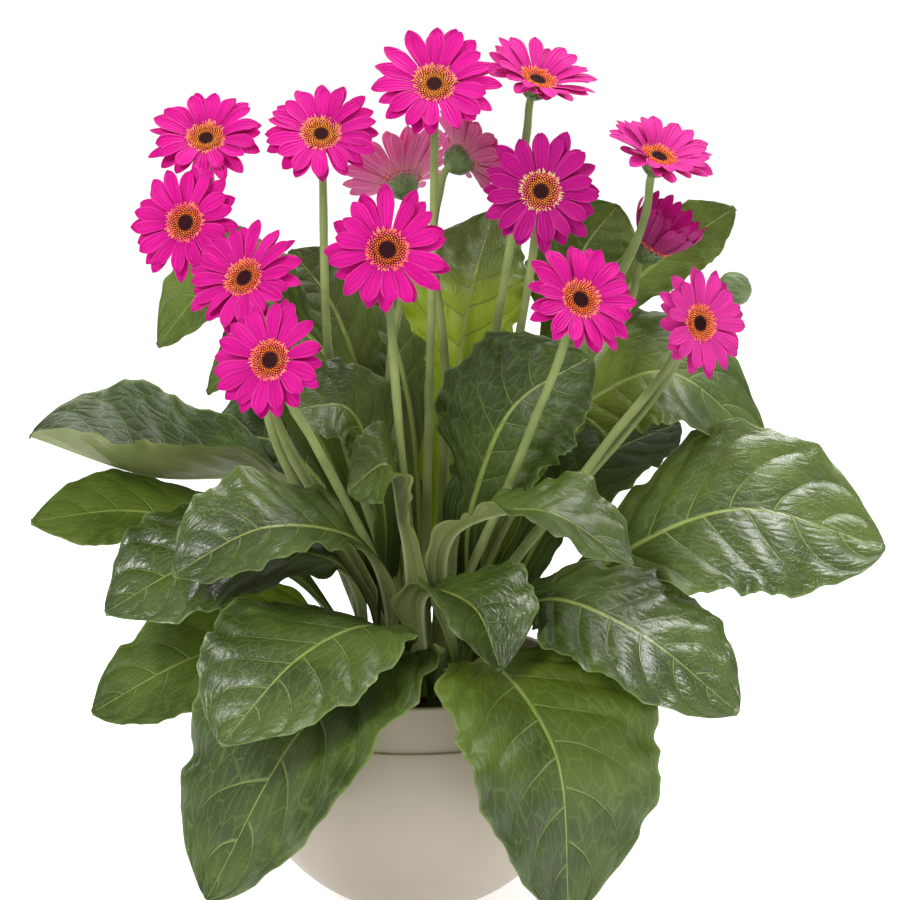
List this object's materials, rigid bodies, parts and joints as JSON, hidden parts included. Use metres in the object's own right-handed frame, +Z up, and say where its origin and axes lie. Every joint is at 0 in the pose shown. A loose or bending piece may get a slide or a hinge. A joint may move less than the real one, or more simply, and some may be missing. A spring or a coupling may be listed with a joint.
{
  "type": "potted gerbera",
  "caption": "Gerbera daisy in full flower, with broad arching leaves, on slender bare stems, growing in a plain rounded ceramic pot.",
  "frame": {"origin": "centre of the flat foot that the pot stands on", "axes": "+Z up along the pot's axis, -Y towards the front that most flower heads face, +X to the right as seen from the front"},
  "size_m": [0.6424, 0.4692, 0.6616],
  "materials": {
    "pot": "satin",
    "soil": "matte",
    "leaf": "satin",
    "stem": "matte",
    "petals": "matte"
  },
  "bodies": {
    "root": {"bud_with_stem": "stem", "flower_1": "petals", "flower_10": "petals", "flower_11": "petals", "flower_12": "petals", "flower_13": "petals", "flower_14": "petals", "flower_15": "petals", "flower_2": "petals", "flower_3": "petals", "flower_4": "petals", "flower_5": "petals", "flower_6": "petals", "flower_7": "petals", "flower_8": "petals", "flower_9": "petals", "leaf_back_low_left": "leaf", "leaf_back_low_right": "leaf", "leaf_back_right_folded": "leaf", "leaf_back_right_tip": "leaf", "leaf_back_right_upper": "leaf", "leaf_centre_back": "leaf", "leaf_centre_dark": "leaf", "leaf_centre_left": "leaf", "leaf_centre_small": "leaf", "leaf_centre_upper": "leaf", "leaf_front_left": "leaf", "leaf_front_left_hanging": "leaf", "leaf_front_right_hanging": "leaf", "leaf_front_small": "leaf", "leaf_left_back": "leaf", "leaf_left_back_lower": "leaf", "leaf_left_dark": "leaf", "leaf_left_glossy": "leaf", "leaf_left_high": "leaf", "leaf_left_low": "leaf", "leaf_left_mid": "leaf", "leaf_left_pointed": "leaf", "leaf_right_arched": "leaf", "leaf_right_big": "leaf", "leaf_right_dark": "leaf", "leaf_right_low": "leaf", "leaf_upper_left": "leaf", "pot": "pot", "soil": "soil", "stem_1": "stem", "stem_10": "stem", "stem_11": "stem", "stem_12": "stem", "stem_13": "stem", "stem_14": "stem", "stem_15": "stem", "stem_2": "stem", "stem_3": "stem", "stem_4": "stem", "stem_5": "stem", "stem_6": "stem", "stem_7": "stem", "stem_8": "stem", "stem_9": "stem"}
  },
  "joints": []
}
